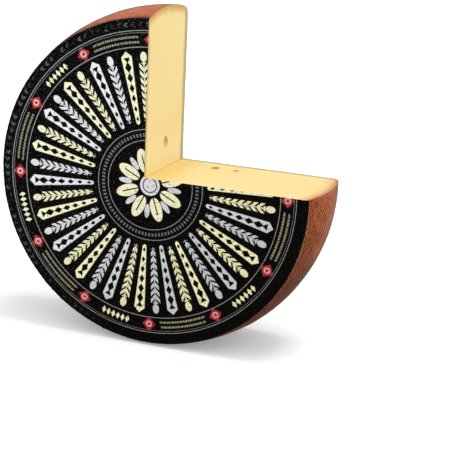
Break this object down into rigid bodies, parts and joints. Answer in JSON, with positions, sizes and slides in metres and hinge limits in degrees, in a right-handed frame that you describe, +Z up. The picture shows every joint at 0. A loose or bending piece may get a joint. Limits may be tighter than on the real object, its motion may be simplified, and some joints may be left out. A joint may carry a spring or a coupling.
{
  "type": "cheese wheel with a quarter cut out",
  "caption": "Semi-hard cheese wheel with a bulging, cloth-pressed rind and a round paper label, standing on its rim with one quarter cut out to show the pale paste.",
  "frame": {"origin": "middle of the foot flat that the wheel stands on, mid-way between its two faces", "axes": "+Z up; +Y along the wheel's axis, away from the labelled face; the missing quarter lies towards +X and +Z"},
  "size_m": [0.314, 0.0904, 0.3094],
  "materials": {
    "cheese": "pale yellow semi-hard paste on the cut faces, brown-red washed rind with a fine cloth print outside",
    "label": "black printed paper stuck to the front face, satin"
  },
  "bodies": {
    "root": {"cheese": "cheese", "label": "label"}
  },
  "joints": []
}
